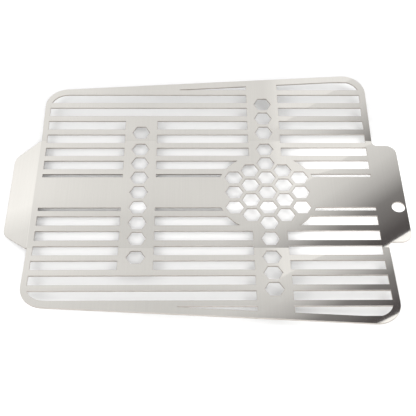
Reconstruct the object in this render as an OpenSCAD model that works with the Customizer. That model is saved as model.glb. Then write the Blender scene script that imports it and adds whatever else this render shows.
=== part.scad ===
// Radiator guard for a motorcycle: one laser-cut stainless sheet, folded along three lines.
// The sheet lies front face up. X runs along the slots from the narrow end to the holed tab,
// and Z points out of the front face. Widths on the wings are measured along the sheet.

/* [Sheet] */
// Thickness of the sheet
sheet_t = 1.5; // [1:0.25:2.5]
// Inner radius of each fold
bend_r = 3; // [1.5:0.5:5]

/* [Plate] */
// Length of the slotted plate, without its tabs
plate_l = 305.4; // [300:0.2:316]
// Width of the plate at its narrow end
narrow_w = 245; // [242:1:250]
// Width of the plate at its wide end
wide_w = 284; // [280:1:290]
// Outer radius of the plate's four corners
corner_r = 21; // [17:1:24]
// Inner radius of the frame's four corners
frame_corner_r = 15; // [10:1:16]
// Width of the frame along the narrow end
narrow_frame_w = 5; // [4:0.5:8]
// Width of the frame along the wide end
wide_frame_w = 6; // [4:0.5:8]
// Width of the frame along the two sloping sides
side_frame_w = 7; // [6:0.5:8]

/* [Wings] */
// Distance of each long fold from the centre line
fold_y = 61.2; // [60.2:0.2:62.2]
// Angle by which each wing rises towards the front
wing_deg = 5.5; // [2:0.5:12]

/* [Slots] */
// Width of the bar on the centre line
centre_bar_w = 34.8; // [32:0.4:36]
// Width of the narrow slot on each side of the centre bar
narrow_slot_w = 3.6; // [2.4:0.2:4.4]
// Width of each slot
slot_w = 10; // [9:0.25:10.5]
// Width of each bar between two slots
bar_w = 6; // [5.5:0.25:6.5]
// Height at which the pointed slots beside the sloping frame begin
tip_h = 0.6; // [0.4:0.1:1.5]

/* [Cross bands] */
// Width of both cross bands
band_w = 29.8; // [27:0.2:33]
// Middle of the short band, from the narrow end
short_band_x = 91.6; // [85:0.2:98]
// Number of full slots that the short band crosses on each side
short_band_rows = 4; // [3:1:5]
// Middle of the long band, from the narrow end
long_band_x = 205.6; // [200:0.2:212]

/* [Round panel and hexagonal windows] */
// Radius of the round panel on the long band
panel_r = 45; // [43:0.5:48]
// Size of a hexagonal window across its flats
cell_w = 14; // [11:0.5:14.5]
// Distance between the middles of two neighbouring windows
cell_pitch = 17; // [16.5:0.25:17.5]
// Rings of windows round the middle one in the round panel
cell_rings = 2; // [1:1:2]
// Least land of plain sheet between a window and a fold or a bar
land_w = 3; // [2:0.25:3.25]

/* [Bent tab] */
// Length of the bent tab from its fold, along the sheet
tab_l = 23; // [18:0.5:30]
// Width of the bent tab at its fold
tab_root_w = 121; // [110:1:121]
// Straight stretch of the bent tab's sides beside the fold
tab_straight_l = 1; // [0.5:0.5:3]
// Width of the bent tab at its tip, to the sharp corners
tab_tip_w = 87; // [70:1:96]
// Radius of the bent tab's two corners
tab_corner_r = 10; // [4:1:14]
// Angle by which the tab drops towards the back
tab_deg = 12; // [4:1:20]

/* [Holed tab] */
// Length of the holed tab, from the plate's wide end
holed_tab_l = 21; // [17:0.5:28]
// Width of the holed tab
holed_tab_w = 110.6; // [90:0.2:111]
// Radius of the holed tab's two corners
holed_tab_r = 9.5; // [4:0.5:14]
// Radius of the fillets between the holed tab and the plate
root_fillet_r = 4; // [2:0.5:4.5]
// Diameter of the fixing hole
hole_d = 11.5; // [8:0.5:12]
// Middle of the hole, from the tab's free edge
hole_edge = 7.2; // [7.2:0.2:9.4]
// Middle of the hole, from the centre line, towards the near side
hole_off = 17.3; // [0:0.1:30]

/* [Hidden] */
$fn = 96;
// How far the cutting tools reach past the sheet
reach = 20;
// Steps that round each fold
fold_steps = 4;

slot_pitch = slot_w + bar_w;
first_slot_y = centre_bar_w / 2 + narrow_slot_w + bar_w;
last_slot = ceil((wide_w / 2 - first_slot_y) / slot_pitch) - 1;
short_band_end = first_slot_y + short_band_rows * slot_pitch;
function slot_y(row) = first_slot_y + row * slot_pitch;

// Slots that lie on the middle panel, across a long fold, and on a wing
mid_slots = [for (row = [0 : last_slot]) if (slot_y(row) + slot_w <= fold_y) row];
fold_slots = [for (row = [0 : last_slot]) if (slot_y(row) < fold_y && slot_y(row) + slot_w > fold_y) row];
wing_slots = [for (row = [0 : last_slot]) if (slot_y(row) >= fold_y) row];

// Ends of the slots between the frame and the two bands
fields = [
    [narrow_frame_w, short_band_x - band_w / 2],
    [short_band_x + band_w / 2, long_band_x - band_w / 2],
    [long_band_x + band_w / 2, plate_l - wide_frame_w]
];

// The sloping sides gain slope for each unit of length; sloped is the length of side for each unit
slope = (wide_w - narrow_w) / 2 / plate_l;
sloped = sqrt(1 + slope * slope);
function side_y(x) = narrow_w / 2 + slope * x;
function frame_y(x) = side_y(x) - side_frame_w * sloped;

// Length of each fold's arc at the middle of the sheet, and where the long folds begin
wing_arc = (bend_r + sheet_t / 2) * wing_deg * PI / 180;
tab_arc = (bend_r + sheet_t / 2) * tab_deg * PI / 180;
fold_start = fold_y - wing_arc / 2;
fold_axis_z = sheet_t + bend_r;

// Columns of windows in a band: on the middle panel, and on a wing from the fold outwards
cell_r = cell_w / 2 / cos(30);
mid_cells = floor((fold_y - land_w - cell_w / 2) / cell_pitch);
wing_cell_y = fold_y + land_w + cell_w / 2;
function wing_cells(end_y) = floor((end_y - land_w - cell_w / 2 - wing_cell_y) / cell_pitch) + 1;

// Reach of the bent tab's tip, to the left and downwards, and the whole length
tab_flat = tab_l - tab_arc;
tip_x = (bend_r + sheet_t) * sin(tab_deg) + tab_flat * cos(tab_deg);
tip_z = bend_r * (1 - cos(tab_deg)) + tab_flat * sin(tab_deg);
full_l = plate_l + holed_tab_l;

// Outline of a plate with sloping sides and round corners, between two straight ends
module sloped_plate(x0, x1, inset, r) {
    y0 = side_y(x0 + r) - (inset + r) * sloped;
    y1 = side_y(x1 - r) - (inset + r) * sloped;
    touch = [-r * slope / sloped, r / sloped];
    far_side = [[x0, y0], [x0 + r, y0] + touch, [x1 - r, y1] + touch, [x1, y1]];
    near_side = [for (i = [3 : -1 : 0]) [far_side[i][0], -far_side[i][1]]];
    polygon(concat(far_side, near_side));
    for (side = [-1, 1]) {
        translate([x0 + r, side * y0]) circle(r);
        translate([x1 - r, side * y1]) circle(r);
    }
}

// Flat strip across the whole plate for each of the given slots, on the far side
module slot_strips(rows) {
    for (row = rows) {
        start = max(0, (slot_y(row) + tip_h - frame_y(0)) / slope);
        translate([start, slot_y(row)]) square([plate_l - start, slot_w]);
    }
}

// All that lies inside the frame, beside the bands and outside the round panel
module slotted_area() {
    difference() {
        sloped_plate(narrow_frame_w, plate_l - wide_frame_w, side_frame_w, frame_corner_r);
        translate([short_band_x - band_w / 2, -short_band_end])
            square([band_w, 2 * short_band_end]);
        translate([long_band_x - band_w / 2, -wide_w / 2]) square([band_w, wide_w]);
        translate([long_band_x, 0]) circle(panel_r);
    }
}

// One hexagonal window with its corners along the slots
module cell(x, y) {
    translate([x, y])
        polygon([for (corner = [0 : 5]) cell_r * [cos(60 * corner), sin(60 * corner)]]);
}

// Honeycomb in the round panel, beside the column of windows in the long band
module panel_cells() {
    for (side = [-1, 1], column = [1 : cell_rings]) {
        rows = 2 * cell_rings + 1 - column;
        for (row = [0 : rows - 1])
            cell(long_band_x + side * column * cell_pitch * cos(30),
                 (row - (rows - 1) / 2) * cell_pitch);
    }
}

// Cut away from the flat middle panel
module mid_waste() {
    for (side = [0, 1]) mirror([0, side])
        intersection() {
            union() {
                translate([0, centre_bar_w / 2]) square([plate_l, narrow_slot_w]);
                slot_strips(mid_slots);
            }
            slotted_area();
        }
    for (x = [short_band_x, long_band_x], row = [-mid_cells : mid_cells]) cell(x, row * cell_pitch);
    panel_cells();
}

// Cut away from the flat far wing, and from all round it
module wing_waste() {
    intersection() {
        slot_strips(wing_slots);
        slotted_area();
    }
    for (band = [[short_band_x, short_band_end - bar_w], [long_band_x, frame_y(long_band_x)]])
        for (row = [0 : wing_cells(band[1]) - 1]) cell(band[0], wing_cell_y + row * cell_pitch);
    difference() {
        translate([-reach, fold_y + land_w]) square([plate_l + 2 * reach, wide_w / 2]);
        sloped_plate(0, plate_l, 0, corner_r);
    }
}

// Carries flat sheet beyond the long fold to the raised wing
module on_wing() {
    translate([0, fold_start, fold_axis_z])
        rotate([wing_deg, 0, 0])
            translate([0, -fold_start - wing_arc, -fold_axis_z]) children();
}

// Carries flat sheet beyond the narrow end to the dropped tab
module on_tab() {
    translate([0, 0, -bend_r])
        rotate([0, -tab_deg, 0])
            translate([tab_arc, 0, bend_r]) children();
}

// Section through a fold and the flat sheet beyond it, out along one face and back along the other.
// The fold begins at the origin and turns upwards by angle, and flat_l of sheet follows.
function fold_section(angle, flat_l) =
    let (
        outer_r = bend_r + sheet_t,
        ahead = flat_l * [cos(angle), sin(angle)],
        turns = [for (step = [0 : fold_steps]) angle * step / fold_steps],
        outer = [for (a = turns) [outer_r * sin(a), outer_r - outer_r * cos(a)]],
        inner = [for (a = turns) [bend_r * sin(a), outer_r - bend_r * cos(a)]]
    )
    concat(outer, [outer[fold_steps] + ahead, inner[fold_steps] + ahead],
           [for (step = [fold_steps : -1 : 0]) inner[step]]);

// Uncut sheet of the middle panel and both wings
module plate_blank() {
    far_side = [for (p = fold_section(wing_deg, wide_w / 2 - fold_y)) p + [fold_start, 0]];
    near_side = [for (i = [len(far_side) - 1 : -1 : 0]) [-far_side[i][0], far_side[i][1]]];
    rotate([90, 0, 90]) linear_extrude(plate_l) polygon(concat(far_side, near_side));
}

// Place, across the plate, of a point of the flat far wing at width y and height z
function wing_point(y, z) =
    let (out = y - fold_start - wing_arc, up = z - fold_axis_z)
    [fold_start + out * cos(wing_deg) - up * sin(wing_deg),
     fold_axis_z + out * sin(wing_deg) + up * cos(wing_deg)];

// Tools for the slots that run along a fold: each side is cut square to its own panel
module fold_slot_tools() {
    for (row = fold_slots, field = fields)
        translate([field[0], 0, 0])
            rotate([90, 0, 90])
                linear_extrude(field[1] - field[0])
                    polygon([
                        [slot_y(row), -reach], wing_point(slot_y(row) + slot_w, -reach),
                        wing_point(slot_y(row) + slot_w, reach), [slot_y(row), reach]
                    ]);
}

// Tool of the given flat shape, through the sheet
module tool() {
    translate([0, 0, -reach]) linear_extrude(2 * reach) children();
}

// Slotted plate with its two raised wings. Each panel is cut square to its own face.
module folded_plate() {
    difference() {
        plate_blank();
        tool() mid_waste();
        for (side = [0, 1]) mirror([0, side, 0]) {
            fold_slot_tools();
            on_wing() tool() wing_waste();
        }
    }
}

// Flat outline of the holed tab, with its seat in the frame and the fillets beside it
module holed_tab_outline() {
    seat = wide_frame_w / 2;
    half_w = holed_tab_w / 2;
    straight_l = holed_tab_l - holed_tab_r;
    translate([-seat, -half_w]) square([seat + straight_l, holed_tab_w]);
    translate([straight_l, holed_tab_r - half_w]) square([holed_tab_r, holed_tab_w - 2 * holed_tab_r]);
    for (side = [0, 1]) mirror([0, side]) {
        translate([straight_l, half_w - holed_tab_r]) circle(holed_tab_r);
        difference() {
            translate([-seat, half_w]) square([seat + root_fillet_r, root_fillet_r]);
            translate([root_fillet_r, half_w + root_fillet_r]) circle(root_fillet_r);
        }
    }
}

// Flat tab at the wide end with its fixing hole
module holed_tab() {
    translate([plate_l, 0, 0])
        linear_extrude(sheet_t)
            difference() {
                holed_tab_outline();
                translate([holed_tab_l - hole_edge, -hole_off]) circle(d = hole_d);
            }
}

// Flat outline of the bent tab beyond its fold
module tab_outline() {
    tip = [-tab_l, tab_tip_w / 2];
    root = [-tab_arc - tab_straight_l, tab_root_w / 2];
    edge = (root - tip) / norm(root - tip);
    trim = tab_corner_r / tan((90 + atan2(edge[1], edge[0])) / 2);
    round_start = tip - [0, trim];
    for (side = [0, 1]) mirror([0, side]) {
        polygon([[root[0], 0], root, tip + trim * edge, round_start, [-tab_l, 0]]);
        translate(round_start + [tab_corner_r, 0]) circle(tab_corner_r);
    }
}

// Uncut sheet of the bent tab, with its seat in the plate's frame
module tab_blank() {
    seat = narrow_frame_w / 2;
    fold = [for (p = fold_section(tab_deg, tab_flat)) [-p[0], sheet_t - p[1]]];
    translate([0, tab_root_w / 2, 0])
        rotate([90, 0, 0])
            linear_extrude(tab_root_w) polygon(concat(fold, [[seat, 0], [seat, sheet_t]]));
}

// Tab that drops from the narrow end, with its fold
module bent_tab() {
    difference() {
        tab_blank();
        on_tab()
            tool()
                difference() {
                    translate([-tab_l - reach, -tab_root_w])
                        square([tab_flat - tab_straight_l + reach, 2 * tab_root_w]);
                    tab_outline();
                }
    }
}

module guard_sheet() {
    color("#cfcbc6")
        translate([(tip_x - full_l) / 2, 0, tip_z]) {
            folded_plate();
            bent_tab();
            holed_tab();
        }
}

guard_sheet();
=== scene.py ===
"""Looks of a motorcycle radiator guard: one laser-cut, folded sheet of polished stainless steel."""

import logging
import math
from dataclasses import dataclass
from enum import IntEnum
from typing import Mapping, Optional, Sequence, Union

import bmesh
import bpy
from mathutils import Euler, Matrix, Vector


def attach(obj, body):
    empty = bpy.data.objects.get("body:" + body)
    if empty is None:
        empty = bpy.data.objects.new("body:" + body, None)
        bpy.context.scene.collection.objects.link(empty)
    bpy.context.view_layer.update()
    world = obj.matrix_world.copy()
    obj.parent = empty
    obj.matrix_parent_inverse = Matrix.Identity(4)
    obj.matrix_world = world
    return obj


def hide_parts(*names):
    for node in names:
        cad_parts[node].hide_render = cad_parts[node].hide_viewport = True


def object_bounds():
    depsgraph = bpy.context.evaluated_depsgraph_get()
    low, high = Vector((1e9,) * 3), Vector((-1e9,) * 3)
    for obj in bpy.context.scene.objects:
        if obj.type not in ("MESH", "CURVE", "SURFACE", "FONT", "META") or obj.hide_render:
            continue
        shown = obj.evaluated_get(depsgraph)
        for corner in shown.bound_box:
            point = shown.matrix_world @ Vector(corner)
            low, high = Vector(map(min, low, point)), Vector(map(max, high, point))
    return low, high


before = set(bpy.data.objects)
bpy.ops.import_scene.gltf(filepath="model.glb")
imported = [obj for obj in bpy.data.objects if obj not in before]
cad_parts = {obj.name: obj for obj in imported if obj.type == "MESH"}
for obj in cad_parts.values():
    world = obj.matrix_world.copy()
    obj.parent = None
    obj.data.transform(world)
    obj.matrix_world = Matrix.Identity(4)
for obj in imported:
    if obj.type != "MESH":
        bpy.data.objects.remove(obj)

CAD_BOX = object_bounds()
MM = 0.001
NOISE_MIDDLE = 0.5
WHITE = (1.0, 1.0, 1.0, 1.0)

log = logging.getLogger("radiator_guard")

Colour = tuple[float, float, float]
Number = Union["Signal", float]
Setting = Union["Signal", float, Sequence[float]]


class Signal:
    """An output socket whose arithmetic adds Math nodes to its tree."""

    def __init__(self, shader: "Shader", socket: bpy.types.NodeSocket) -> None:
        """Keeps the socket and the shader that it belongs to.

        Args:
            shader: The shader whose tree holds the socket.
            socket: The output socket.
        """
        self.shader = shader
        self.socket = socket

    def __add__(self, other: Number) -> "Signal":
        """Returns self + other."""
        return self.shader.math("ADD", self, other)

    def __radd__(self, other: Number) -> "Signal":
        """Returns other + self."""
        return self.shader.math("ADD", other, self)

    def __sub__(self, other: Number) -> "Signal":
        """Returns self - other."""
        return self.shader.math("SUBTRACT", self, other)

    def __rsub__(self, other: Number) -> "Signal":
        """Returns other - self."""
        return self.shader.math("SUBTRACT", other, self)

    def __mul__(self, other: Number) -> "Signal":
        """Returns self * other."""
        return self.shader.math("MULTIPLY", self, other)

    def __rmul__(self, other: Number) -> "Signal":
        """Returns other * self."""
        return self.shader.math("MULTIPLY", other, self)


class Shader:
    """Builds the node tree of a material or of the world."""

    def __init__(self, owner: Union[bpy.types.Material, bpy.types.World]) -> None:
        """Empties the owner's tree.

        Args:
            owner: The material or world that gets the nodes.
        """
        owner.use_nodes = True
        self.tree = owner.node_tree
        self.tree.nodes.clear()

    def node(
        self,
        kind: str,
        inputs: Optional[Mapping[Union[str, int], Setting]] = None,
        settings: Optional[Mapping[str, object]] = None,
    ) -> bpy.types.Node:
        """Adds a node, with its settings first and then its sockets.

        Args:
            kind: The node's type name.
            inputs: The value or link of each socket, by the socket's name or number.
            settings: The node's own settings. The key stops sets the stops of its colour ramp.

        Returns:
            The new node.
        """
        node = self.tree.nodes.new(kind)
        for name, value in (settings or {}).items():
            if name == "stops":
                self._set_stops(node.color_ramp.elements, value)
            else:
                setattr(node, name, value)
        for name, value in (inputs or {}).items():
            if isinstance(value, Signal):
                self.tree.links.new(value.socket, node.inputs[name])
            else:
                node.inputs[name].default_value = value
        return node

    @staticmethod
    def _set_stops(elements: bpy.types.ColorRampElements, stops: Sequence[tuple[float, float]]) -> None:
        """Gives a colour ramp its grey stops.

        Args:
            elements: The elements of the ramp.
            stops: The place and the grey value of each stop, in rising order.
        """
        while len(elements) < len(stops):
            elements.new(1.0)
        for element, (place, grey) in zip(elements, stops):
            element.position = place
            element.color = opaque((grey, grey, grey))

    def signal(
        self,
        kind: str,
        output: Union[str, int] = 0,
        inputs: Optional[Mapping[Union[str, int], Setting]] = None,
        settings: Optional[Mapping[str, object]] = None,
    ) -> Signal:
        """Adds a node and returns one of its outputs.

        Args:
            kind: The node's type name.
            output: The name or number of the output.
            inputs: The value or link of each socket.
            settings: The node's own settings.

        Returns:
            The chosen output.
        """
        return Signal(self, self.node(kind, inputs, settings).outputs[output])

    def math(self, operation: str, first: Number, second: Number) -> Signal:
        """Returns a Math node's result for two numbers or signals."""
        return self.signal("ShaderNodeMath", 0, {0: first, 1: second}, {"operation": operation})

    def mix(self, share: Number, first: Setting, second: Setting) -> Signal:
        """Mixes two colours.

        Args:
            share: The share of the second colour.
            first: The first colour, with its alpha.
            second: The second colour, with its alpha.

        Returns:
            The mixed colour.
        """
        inputs = {0: share, 6: first, 7: second}
        return self.signal("ShaderNodeMix", 2, inputs, {"data_type": "RGBA"})

    def rise(self, value: Signal, start: float, full: float, low: float = 0.0) -> Signal:
        """Turns a value into a smooth rise to 1, which falls instead where full is less than start.

        Args:
            value: The value.
            start: Where the rise begins.
            full: Where the rise reaches 1.
            low: The result before the rise.

        Returns:
            The result, from low to 1.
        """
        inputs = {"Value": value, "From Min": start, "From Max": full, "To Min": low}
        return self.signal("ShaderNodeMapRange", 0, inputs, {"interpolation_type": "SMOOTHSTEP"})

    def split(self, vector: Signal) -> tuple[Signal, ...]:
        """Returns the X, Y and Z of a vector."""
        parts = self.node("ShaderNodeSeparateXYZ", {"Vector": vector})
        return tuple(Signal(self, parts.outputs[axis]) for axis in "XYZ")

    def place(self) -> Signal:
        """Returns the point of the piece in its own coordinates, in metres."""
        return self.signal("ShaderNodeTexCoord", "Object")

    def bump(self, height: Signal) -> Signal:
        """Returns the normal of a surface whose height, in metres, is given."""
        return self.signal("ShaderNodeBump", 0, {"Height": height, "Strength": 1.0, "Distance": 1.0})

    def finish(self, surface: Signal, output: str = "ShaderNodeOutputMaterial") -> None:
        """Links a surface to the tree's output node."""
        self.node(output, {"Surface": surface})


def opaque(colour: Colour) -> tuple[float, float, float, float]:
    """Returns a colour with its full alpha."""
    return (*colour, 1.0)


def lay_square(half: float) -> bmesh.types.BMesh:
    """Starts a flat square round the origin.

    Args:
        half: Half of its side, in metres.

    Returns:
        The square's bmesh.
    """
    bm = bmesh.new()
    bmesh.ops.create_grid(bm, x_segments=1, y_segments=1, size=half)
    return bm


def add_object(name: str, bm: bmesh.types.BMesh) -> bpy.types.Object:
    """Turns a bmesh into an object of the scene and frees it.

    Args:
        name: The name of the object and of its mesh.
        bm: The finished bmesh.

    Returns:
        The new object.
    """
    mesh = bpy.data.meshes.new(name)
    bm.to_mesh(mesh)
    bm.free()
    made = bpy.data.objects.new(name, mesh)
    bpy.context.scene.collection.objects.link(made)
    return made


@dataclass(frozen=True)
class Grain:
    """Noise drawn out into streaks of about one size, in metres along X, Y and Z."""

    size: tuple[float, float, float]
    detail: float = 2.0
    turn: float = 0.0
    roughness: float = 0.55

    def noise(self, shader: Shader) -> Signal:
        """Adds the streaks to a shader.

        Args:
            shader: The shader that gets the nodes.

        Returns:
            A value that lies round NOISE_MIDDLE.
        """
        mapped = shader.signal("ShaderNodeMapping", 0, {
            "Vector": shader.place(),
            "Rotation": (0.0, 0.0, self.turn),
            "Scale": tuple(1.0 / size for size in self.size),
        }, {"vector_type": "POINT"})
        return shader.signal("ShaderNodeTexNoise", "Fac", {
            "Vector": mapped, "Scale": 1.0, "Detail": self.detail, "Roughness": self.roughness,
        })


@dataclass(frozen=True)
class SheetFinish:
    """Rolled face of the sheet, brushed along Y and then polished."""

    name: str
    pale: Colour
    deep: Colour
    roughness: float
    streak_roughness: float
    grain_depth: float
    scratch_depth: float
    grain: Grain = Grain((0.22 * MM, 14 * MM, 2 * MM), 3.0)
    grain_tone: float = 0.2
    streaks: Grain = Grain((1.0 * MM, 110 * MM, 8 * MM), 2.0)
    streak_tone: float = 0.25
    clouds: Grain = Grain((60 * MM, 85 * MM, 60 * MM), 1.0)
    cloud_tone: float = 0.4
    middle_tone: float = 0.5
    wave: Grain = Grain((110 * MM, 75 * MM, 90 * MM), 0.0)
    wave_depth: float = 0.10 * MM
    scratches: Grain = Grain((0.35 * MM, 24 * MM, 6 * MM), 1.0, math.radians(9))
    scratch_start: float = 0.70
    scratch_full: float = 0.78

    def material(self) -> bpy.types.Material:
        """Builds the finish.

        Returns:
            The new material.
        """
        material = bpy.data.materials.new(self.name)
        shader = Shader(material)
        grain = self.grain.noise(shader)
        streaks = self.streaks.noise(shader)
        scratches = shader.rise(self.scratches.noise(shader), self.scratch_start, self.scratch_full)
        tone = (
            (streaks - NOISE_MIDDLE) * self.streak_tone
            + (self.clouds.noise(shader) - NOISE_MIDDLE) * self.cloud_tone
            + (grain - NOISE_MIDDLE) * self.grain_tone
            + self.middle_tone
        )
        roughness = self.roughness + (streaks + grain - 2 * NOISE_MIDDLE) * self.streak_roughness
        height = (
            grain * self.grain_depth
            + self.wave.noise(shader) * self.wave_depth
            - scratches * self.scratch_depth
        )
        shader.finish(shader.signal("ShaderNodeBsdfPrincipled", 0, {
            "Base Color": shader.mix(tone, opaque(self.deep), opaque(self.pale)),
            "Metallic": 1.0,
            "Roughness": roughness + scratches * self.streak_roughness,
            "Normal": shader.bump(height),
        }))
        return material


@dataclass(frozen=True)
class LaserWall:
    """Wall that the laser leaves: matt, striated through the sheet and a little heat-tinted."""

    name: str = "laser_cut_wall"
    pale: Colour = (0.62, 0.585, 0.545)
    deep: Colour = (0.33, 0.29, 0.265)
    roughness: float = 0.42
    striae: Grain = Grain((0.16 * MM, 0.16 * MM, 3 * MM), 2.0)
    striae_tone: float = 0.5
    striae_depth: float = 0.005 * MM
    striae_roughness: float = 0.2
    tint: Grain = Grain((9 * MM, 9 * MM, 2 * MM), 2.0)
    tint_tone: float = 0.5

    def material(self) -> bpy.types.Material:
        """Builds the finish.

        Returns:
            The new material.
        """
        material = bpy.data.materials.new(self.name)
        shader = Shader(material)
        striae = self.striae.noise(shader)
        tone = striae * self.striae_tone + self.tint.noise(shader) * self.tint_tone
        shader.finish(shader.signal("ShaderNodeBsdfPrincipled", 0, {
            "Base Color": shader.mix(tone, opaque(self.deep), opaque(self.pale)),
            "Metallic": 1.0,
            "Roughness": self.roughness + (striae - NOISE_MIDDLE) * self.striae_roughness,
            "Normal": shader.bump(striae * self.striae_depth),
        }))
        return material


class Side(IntEnum):
    """Sides of the sheet, in the order of the piece's material slots."""

    FRONT = 0
    BACK = 1
    WALL = 2


@dataclass
class GuardSheet:
    """The folded sheet, with its cut edges broken as a deburring wheel leaves them."""

    node: str = "guard_sheet"
    name: str = "guard_sheet_deburred"
    body: str = "root"
    slot: str = "brushed_sheet"
    weld: float = 0.01 * MM
    flat_angle: float = math.radians(0.2)
    edge_angle: float = math.radians(35)
    edge_break: float = 0.14 * MM
    break_steps: int = 2
    face_lean: float = 0.3
    flat_weight: int = 50
    front: SheetFinish = SheetFinish(
        name="polished_front",
        pale=(0.742, 0.721, 0.682),
        deep=(0.608, 0.591, 0.558),
        roughness=0.03,
        streak_roughness=0.015,
        grain_depth=0.00025 * MM,
        scratch_depth=0.0002 * MM,
    )
    back: SheetFinish = SheetFinish(
        name="mill_back",
        pale=(0.66, 0.65, 0.63),
        deep=(0.55, 0.54, 0.52),
        roughness=0.30,
        streak_roughness=0.10,
        grain_depth=0.0016 * MM,
        scratch_depth=0.004 * MM,
    )
    wall: LaserWall = LaserWall()

    def build(self) -> bpy.types.Object:
        """Makes the piece and hands it to the frame.

        Returns:
            The dressed piece.
        """
        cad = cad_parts[self.node]
        bm = bmesh.new()
        bm.from_mesh(cad.data)
        self._merge(bm)
        self._sort_sides(bm)
        self._break_edges(bm)
        piece = add_object(self.name, bm)
        self._dress(piece)
        cad.data.materials.clear()
        cad.data.materials.append(piece.data.materials[Side.FRONT])
        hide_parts(self.node)
        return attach(piece, self.body)

    def _merge(self, bm: bmesh.types.BMesh) -> None:
        """Joins the loose triangles into flat faces.

        Args:
            bm: The sheet's mesh.
        """
        bmesh.ops.remove_doubles(bm, verts=bm.verts, dist=self.weld)
        bmesh.ops.dissolve_limit(bm, angle_limit=self.flat_angle, verts=bm.verts, edges=bm.edges)

    def _sort_sides(self, bm: bmesh.types.BMesh) -> None:
        """Gives each face the material slot of its side.

        Args:
            bm: The sheet's mesh.
        """
        bm.normal_update()
        for face in bm.faces:
            face.material_index = self._side(face.normal.z)

    def _side(self, lean: float) -> Side:
        """Tells which side of the sheet a face belongs to.

        Args:
            lean: The Z of the face's normal.

        Returns:
            The side.
        """
        if lean > self.face_lean:
            return Side.FRONT
        return Side.BACK if lean < -self.face_lean else Side.WALL

    def _break_edges(self, bm: bmesh.types.BMesh) -> None:
        """Rounds every sharp edge of the cut, with the wall's finish on what the rounding adds.

        Args:
            bm: The sheet's mesh.
        """
        sharp = [
            edge for edge in bm.edges
            if len(edge.link_faces) == 2 and edge.calc_face_angle() > self.edge_angle
        ]
        broken = bmesh.ops.bevel(
            bm, geom=sharp, offset=self.edge_break, offset_type="OFFSET", affect="EDGES",
            segments=self.break_steps, profile=0.5, material=-1, clamp_overlap=False,
        )
        for face in broken["faces"]:
            face.material_index = Side.WALL
        for face in bm.faces:
            face.smooth = True

    def _dress(self, piece: bpy.types.Object) -> None:
        """Adds the materials and the normals that keep the flats flat.

        Args:
            piece: The piece.
        """
        for finish in (self.front, self.back, self.wall):
            piece.data.materials.append(finish.material())
        weighted = piece.modifiers.new("flat_normals", "WEIGHTED_NORMAL")
        weighted.mode = "FACE_AREA"
        weighted.weight = self.flat_weight


@dataclass(frozen=True)
class PaintedLightPatch:
    """Strip of painted light on the paper: extra glow that washes out the guard's shadow there, with its
    sizes in metres.

    It begins at start along X, is whole from full on, and lies round middle along Y, with a slope along X.
    From half away from its middle on, it fades out over the width fade.
    """

    glow: float
    start: float
    full: float
    middle: float
    half: float
    fade: float
    slope: float = 0.0

    def strength(self, shader: Shader) -> Signal:
        """Adds the patch to the paper's shader.

        Args:
            shader: The paper's shader.

        Returns:
            The glow in the patch and 0 away from it.
        """
        place_x, place_y, _ = shader.split(shader.place())
        across = shader.math("ABSOLUTE", place_y - place_x * self.slope - self.middle, 0.0)
        along = shader.rise(place_x, self.start, self.full)
        inside = shader.rise(across, self.half + self.fade, self.half)
        return along * inside * self.glow


@dataclass(frozen=True)
class Paper:
    """White paper that stays pale under the guard and goes to white away from it.

    It reaches half to each side and lies drop below the guard, in metres. Its strips of painted light lie
    behind the slots of the right end, behind the near narrow slot and just off the near edge, where their
    glow washes out the guard's shadow.
    """

    name: str = "white_paper"
    half: float = 20.0
    drop: float = 0.3 * MM
    colour: Colour = (0.75, 0.75, 0.75)
    fibre: Grain = Grain((0.6 * MM, 0.6 * MM, 0.6 * MM), 2.0)
    fibre_depth: float = 0.01 * MM
    glow: float = 0.06
    far_glow: float = 0.30
    far_start: float = 0.40
    far_full: float = 1.0
    # Painted light: strips where the paper's glow is raised to wash out the guard's shadow.
    painted_light_patches: tuple[PaintedLightPatch, ...] = (
        PaintedLightPatch(glow=0.40, start=0.06, full=0.11, middle=0.0, half=0.055, fade=0.02),
        PaintedLightPatch(glow=0.18, start=-0.16, full=-0.13, middle=-0.0105, half=0.003, fade=0.002),
        PaintedLightPatch(glow=0.08, start=-0.16, full=-0.13, middle=-0.167, half=0.045, fade=0.006, slope=-0.087),
    )

    def build(self) -> bpy.types.Object:
        """Lays the paper just under the guard.

        Returns:
            The paper.
        """
        bm = lay_square(self.half)
        bmesh.ops.translate(bm, vec=(0.0, 0.0, CAD_BOX[0].z - self.drop), verts=bm.verts)
        floor = add_object("floor", bm)
        floor.data.materials.append(self._material())
        return floor

    def _material(self) -> bpy.types.Material:
        """Makes the paper's material, whose glow the camera and the metal see and which lights nothing.

        Returns:
            The new material.
        """
        material = bpy.data.materials.new(self.name)
        material.cycles.emission_sampling = "NONE"
        shader = Shader(material)
        rays = shader.node("ShaderNodeLightPath").outputs
        seen = Signal(shader, rays["Is Camera Ray"]) + Signal(shader, rays["Is Glossy Ray"])
        matt = shader.signal("ShaderNodeBsdfDiffuse", 0, {
            "Color": opaque(self.colour),
            "Normal": shader.bump(self.fibre.noise(shader) * self.fibre_depth),
        })
        length = {"operation": "LENGTH"}
        distance = shader.signal("ShaderNodeVectorMath", "Value", {0: shader.place()}, length)
        glow = shader.rise(distance, self.far_start, self.far_full) * self.far_glow + self.glow
        # Painted light: each strip adds glow to the paper where the guard's shadow would fall.
        for patch in self.painted_light_patches:
            glow = glow + patch.strength(shader)
        shine = shader.signal("ShaderNodeEmission", 0, {"Strength": seen * glow})
        both = shader.signal("ShaderNodeAddShader", 0, {0: matt, 1: shine})
        clear = shader.signal("ShaderNodeBsdfTransparent")
        below = shader.signal("ShaderNodeNewGeometry", "Backfacing")
        shader.finish(shader.signal("ShaderNodeMixShader", 0, {0: below, 1: both, 2: clear}))
        return material


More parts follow.
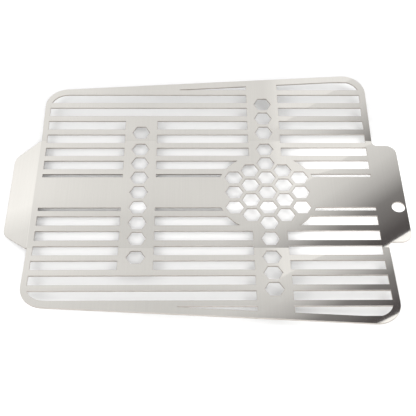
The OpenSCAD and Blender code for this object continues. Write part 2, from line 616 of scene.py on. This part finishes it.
@dataclass(frozen=True)
class WhiteRoom:
    """White world that is brighter on the left and dims towards the horizon.

    The rise on the left starts at left_start along -X. It is whole up to the height rise_full and gone from
    rise_end on. The dimming goes from the share horizon, below horizon_start, to none above horizon_end.
    """

    name: str = "studio_white"
    white: float = 1.0
    left_start: float = 0.05
    left_rise: float = 1.2
    rise_full: float = 0.78
    rise_end: float = 0.94
    horizon: float = 0.35
    horizon_start: float = 0.10
    horizon_end: float = 0.80

    def build(self) -> bpy.types.World:
        """Makes the world and gives it to the scene.

        Returns:
            The world.
        """
        world = bpy.data.worlds.new(self.name)
        bpy.context.scene.world = world
        shader = Shader(world)
        right, _, up = shader.split(shader.signal("ShaderNodeTexCoord", "Generated"))
        left = shader.math("MAXIMUM", -self.left_start - right, 0.0)
        low = shader.rise(up, self.rise_end, self.rise_full)
        height = shader.rise(up, self.horizon_start, self.horizon_end, self.horizon)
        strength = (self.white + left * low * self.left_rise) * height
        sky = shader.signal("ShaderNodeBackground", 0, {"Color": WHITE, "Strength": strength})
        shader.finish(sky, "ShaderNodeOutputWorld")
        return world


@dataclass(frozen=True)
class Lamp:
    """Square soft lamp that points at the guard, with its power in watts and its side in metres."""

    name: str
    power: float
    size: float
    place: tuple[float, float, float]

    def build(self) -> bpy.types.Object:
        """Hangs the lamp.

        Returns:
            The lamp.
        """
        data = bpy.data.lights.new(self.name, "AREA")
        data.energy = self.power
        data.size = self.size
        lamp = bpy.data.objects.new(self.name, data)
        lamp.location = self.place
        lamp.rotation_euler = Vector(self.place).to_track_quat("Z", "Y").to_euler()
        bpy.context.scene.collection.objects.link(lamp)
        return lamp


@dataclass(frozen=True)
class Card:
    """Flat card above the table that only reflections see.

    Its near and far sides lie across its own Y, and lean slants its left and right sides.
    """

    name: str
    height: float
    turn: float
    near: float
    far: float
    left: float = -2.5
    right: float = 2.5
    lean: float = 0.0

    def build(self, material: bpy.types.Material) -> bpy.types.Object:
        """Makes the card.

        Args:
            The card.

        Returns:
            The card, declared as part of the stage.
        """
        bm = lay_square(half=0.5)
        bmesh.ops.scale(bm, vec=(self.right - self.left, self.far - self.near, 1.0), verts=bm.verts)
        middle = ((self.left + self.right) / 2, (self.near + self.far) / 2, 0.0)
        bmesh.ops.translate(bm, vec=middle, verts=bm.verts)
        slant = Matrix(((1.0, math.tan(self.lean), 0.0), (0.0, 1.0, 0.0), (0.0, 0.0, 1.0)))
        bmesh.ops.transform(bm, matrix=slant.to_4x4(), verts=bm.verts)
        card = add_object(self.name, bm)
        card.data.materials.append(material)
        card.location = (0.0, 0.0, self.height)
        card.rotation_euler = (0.0, 0.0, self.turn)
        card.visible_camera = False
        card.visible_diffuse = False
        card.visible_shadow = False
        card.visible_transmission = False
        return card


@dataclass(frozen=True)
class Veil:
    """Card that darkens what the metal mirrors through it.

    The fade gives places along the card's Y, in metres, with the share of light let through there. The veil
    begins at start along the card's X and is whole from full on. Where the share is 0, it lets shade through.
    """

    card: Card
    fade: tuple[tuple[float, float], ...]
    shade: Colour = (0.0, 0.0, 0.0)
    start: float = -2.6
    full: float = -2.5

    def build(self) -> bpy.types.Object:
        """Hangs the veil.

        Returns:
            Its card.
        """
        return self.card.build(self._material())

    def _material(self) -> bpy.types.Material:
        """Makes the veil's material.

        Returns:
            The new material.
        """
        material = bpy.data.materials.new(f"{self.card.name}_veil")
        shader = Shader(material)
        place_x, place_y, _ = shader.split(shader.place())
        far = self.card.far
        stops = tuple((place / far, share) for place, share in self.fade)
        share = shader.signal("ShaderNodeValToRGB", 0, {"Fac": place_y * (1.0 / far)}, {"stops": stops})
        tint = shader.mix(share, opaque(self.shade), WHITE)
        seen = shader.mix(shader.rise(place_x, self.start, self.full), WHITE, tint)
        shader.finish(shader.signal("ShaderNodeBsdfTransparent", 0, {"Color": seen}))
        return material


@dataclass(frozen=True)
class Glow:
    """Card that shines white in the metal and lights nothing.

    It fades in over the width soft, in metres, from its left side.
    """

    card: Card
    strength: float
    soft: float

    def build(self) -> bpy.types.Object:
        """Hangs the glowing card.

        Returns:
            Its card.
        """
        return self.card.build(self._material())

    def _material(self) -> bpy.types.Material:
        """Makes the glow's material.

        Returns:
            The new material.
        """
        material = bpy.data.materials.new(f"{self.card.name}_glow")
        material.cycles.emission_sampling = "NONE"
        shader = Shader(material)
        place_x, place_y, _ = shader.split(shader.place())
        upright = place_x - place_y * math.tan(self.card.lean)
        full = shader.rise(upright, self.card.left, self.card.left + self.soft)
        glow = shader.signal("ShaderNodeEmission", 0, {"Strength": self.strength})
        clear = shader.signal("ShaderNodeBsdfTransparent")
        shader.finish(shader.signal("ShaderNodeMixShader", 0, {0: full, 1: clear, 2: glow}))
        return material


@dataclass
class Studio:
    """White paper, a white room and soft lamps, with the cards that shape what the metal mirrors.

    The roof veil makes the dark end. The side and corner veils dim the left of the sheet and the lower half
    of its bent tab. The board makes the two bright corners, and the panel the pale band.
    """

    paper: Paper = Paper()
    room: WhiteRoom = WhiteRoom()
    lamps: tuple[Lamp, ...] = (
        Lamp("front_lamp", power=4.6, size=0.30, place=(0.0, -0.85, 0.65)),
        Lamp("left_lamp", power=2.4, size=0.30, place=(-0.75, -0.45, 0.60)),
        Lamp("right_lamp", power=2.3, size=0.40, place=(0.60, -0.20, 0.70)),
    )
    roof: Veil = Veil(
        card=Card("dark_roof", height=0.45, turn=math.radians(38), near=0.0, far=0.20),
        fade=(
            (0.0, 1.0), (0.036, 0.09), (0.056, 0.115), (0.08, 0.22), (0.104, 0.285),
            (0.136, 0.64), (0.168, 0.89), (0.20, 1.0),
        ),
        shade=(0.014, 0.003, 0.005),
        start=0.04,
        full=0.17,
    )
    side: Veil = Veil(
        card=Card("left_side", height=0.449, turn=0.0, near=0.0, far=0.38, right=0.15),
        fade=((0.0, 1.0), (0.25, 0.88), (0.315, 0.90), (0.332, 0.94), (0.358, 0.99), (0.38, 1.0)),
        start=0.15,
        full=0.05,
    )
    corner: Veil = Veil(
        card=Card("left_corner", height=0.447, turn=0.0, near=0.0, far=0.42, right=-0.38),
        fade=((0.0, 1.0), (0.30, 0.77), (0.368, 0.80), (0.393, 0.89), (0.42, 1.0)),
        start=-0.38,
        full=-0.45,
    )
    board: Glow = Glow(
        card=Card(
            "white_board", height=0.448, turn=math.radians(34.5),
            near=-0.02, far=0.0655, left=0.32, right=0.55,
        ),
        strength=1.5,
        soft=0.01,
    )
    panel: Glow = Glow(
        card=Card(
            "pale_panel", height=0.50, turn=math.radians(36),
            near=0.249, far=1.4, left=0.12, lean=math.radians(36),
        ),
        strength=1.16,
        soft=0.05,
    )

    def build(self) -> None:
        """Builds the paper, the room, the lamps and the cards."""
        cards = (self.roof, self.side, self.corner, self.board, self.panel)
        for part in (self.paper, self.room, *self.lamps, *cards):
            part.build()


@dataclass
class PhotoCamera:
    """Camera at the photograph's viewing angle."""

    name: str = "photo_camera"
    place: tuple[float, float, float] = (-0.01197, -0.50817, 0.61893)
    turn_deg: tuple[float, float, float] = (38.657, -0.667, -0.658)
    focal_px: float = 900.8
    frame_px: float = 416.0
    clip_start: float = 0.01

    def build(self) -> bpy.types.Object:
        """Makes the camera and gives it to the scene.

        Returns:
            The camera.
        """
        data = bpy.data.cameras.new(self.name)
        data.lens = data.sensor_width * self.focal_px / self.frame_px
        data.clip_start = self.clip_start
        camera = bpy.data.objects.new(self.name, data)
        camera.location = self.place
        camera.rotation_euler = Euler([math.radians(angle) for angle in self.turn_deg])
        bpy.context.scene.collection.objects.link(camera)
        bpy.context.scene.camera = camera
        return camera


def main() -> None:
    """Builds the camera, the studio and the guard, and reports each piece."""
    logging.basicConfig(level=logging.INFO, format="%(name)s: %(message)s")
    bpy.context.scene.view_settings.view_transform = "Standard"
    camera = PhotoCamera().build()
    log.info("%s with a lens of %.1f mm", camera.name, camera.data.lens)
    Studio().build()
    guard = GuardSheet().build()
    log.info("%s with %d faces", guard.name, len(guard.data.polygons))


if __name__ == "__main__":
    main()
